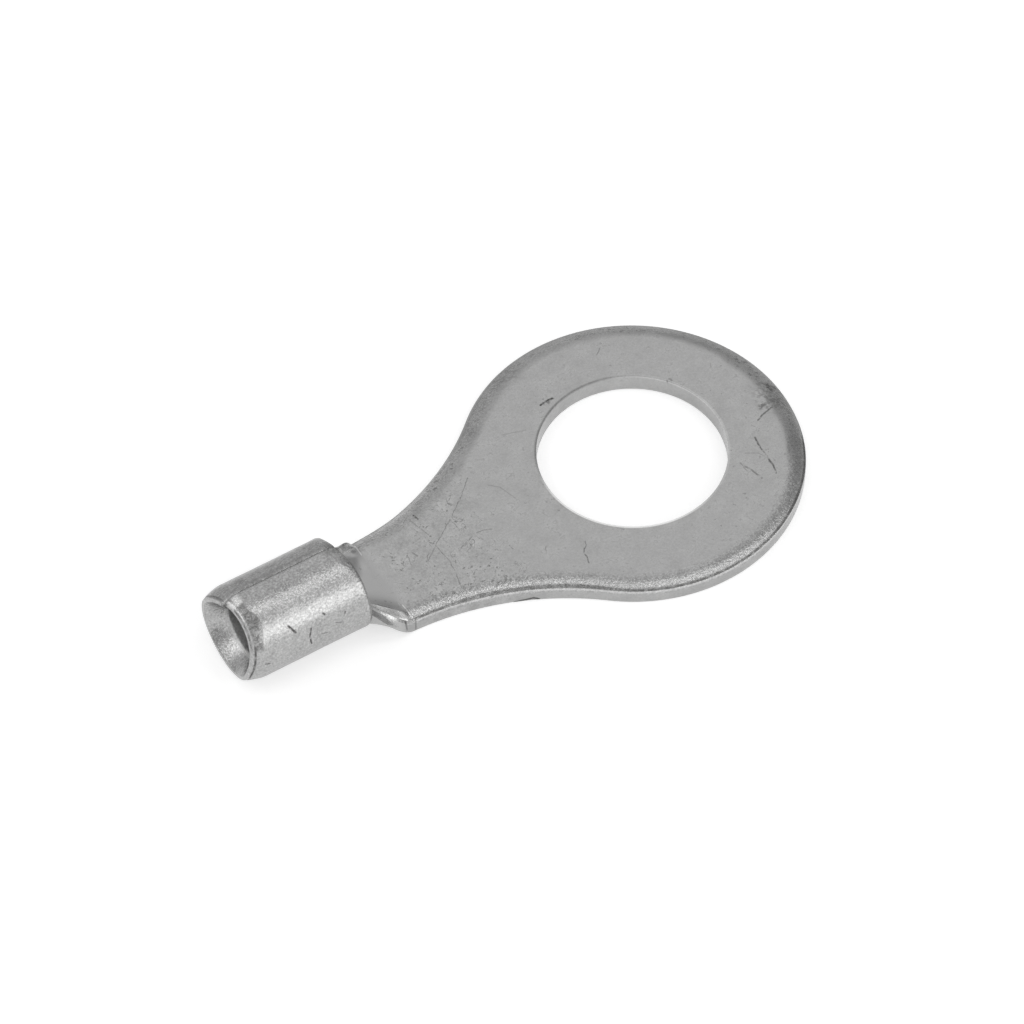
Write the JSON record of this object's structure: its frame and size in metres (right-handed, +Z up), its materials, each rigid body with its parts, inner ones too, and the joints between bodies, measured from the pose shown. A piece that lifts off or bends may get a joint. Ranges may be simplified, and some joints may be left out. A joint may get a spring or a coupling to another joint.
{
  "type": "ring terminal",
  "caption": "Bare crimp ring terminal: flat ring tongue for a stud, necking down to a rolled, butt-seamed wire barrel with a bell mouth.",
  "frame": {"origin": "centre of the stud hole, level with the underside of the flat tongue", "axes": "+X from the wire barrel towards the ring's rim, +Z up out of the tongue's top face, which is the side the barrel stands on"},
  "size_m": [0.0215, 0.0116, 0.0033],
  "materials": {
    "tin_plate": "dull electro-tinned copper, lightly scratched and tarnished at the edges"
  },
  "bodies": {
    "root": {"terminal": "tin_plate"}
  },
  "joints": []
}
